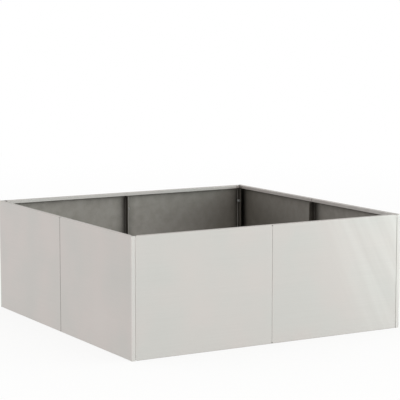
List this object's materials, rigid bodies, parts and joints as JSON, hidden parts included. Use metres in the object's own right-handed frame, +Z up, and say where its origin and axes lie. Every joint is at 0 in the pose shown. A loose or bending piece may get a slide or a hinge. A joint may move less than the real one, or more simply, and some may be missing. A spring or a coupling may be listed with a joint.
{
  "type": "garden planter",
  "caption": "Low square stainless steel planter, open at top and bottom, screwed together from folded sheet panels with a narrow inward rim.",
  "frame": {"origin": "ground level in the middle of the planter, the bottom centre of its bounding box", "axes": "+Z up, the front face with its corner strips faces -Y, the left face faces -X"},
  "size_m": [1, 1, 0.38],
  "materials": {
    "satin_stainless": "fine brushed satin, warm light grey",
    "plain_stainless": "plain turned stainless of standard fasteners"
  },
  "bodies": {
    "root": {"front_left_panel": "satin_stainless", "front_right_panel": "satin_stainless", "back_left_panel": "satin_stainless", "back_right_panel": "satin_stainless", "left_front_panel": "satin_stainless", "left_back_panel": "satin_stainless", "right_front_panel": "satin_stainless", "right_back_panel": "satin_stainless", "front_seam_studs": "plain_stainless", "front_seam_washers": "plain_stainless", "front_seam_nuts": "plain_stainless", "back_seam_studs": "plain_stainless", "back_seam_washers": "plain_stainless", "back_seam_nuts": "plain_stainless", "left_seam_studs": "plain_stainless", "left_seam_washers": "plain_stainless", "left_seam_nuts": "plain_stainless", "right_seam_studs": "plain_stainless", "right_seam_washers": "plain_stainless", "right_seam_nuts": "plain_stainless", "front_left_corner_studs": "plain_stainless", "front_left_corner_washers": "plain_stainless", "front_left_corner_nuts": "plain_stainless", "front_right_corner_studs": "plain_stainless", "front_right_corner_washers": "plain_stainless", "front_right_corner_nuts": "plain_stainless", "back_left_corner_studs": "plain_stainless", "back_left_corner_washers": "plain_stainless", "back_left_corner_nuts": "plain_stainless", "back_right_corner_studs": "plain_stainless", "back_right_corner_washers": "plain_stainless", "back_right_corner_nuts": "plain_stainless"}
  },
  "joints": []
}
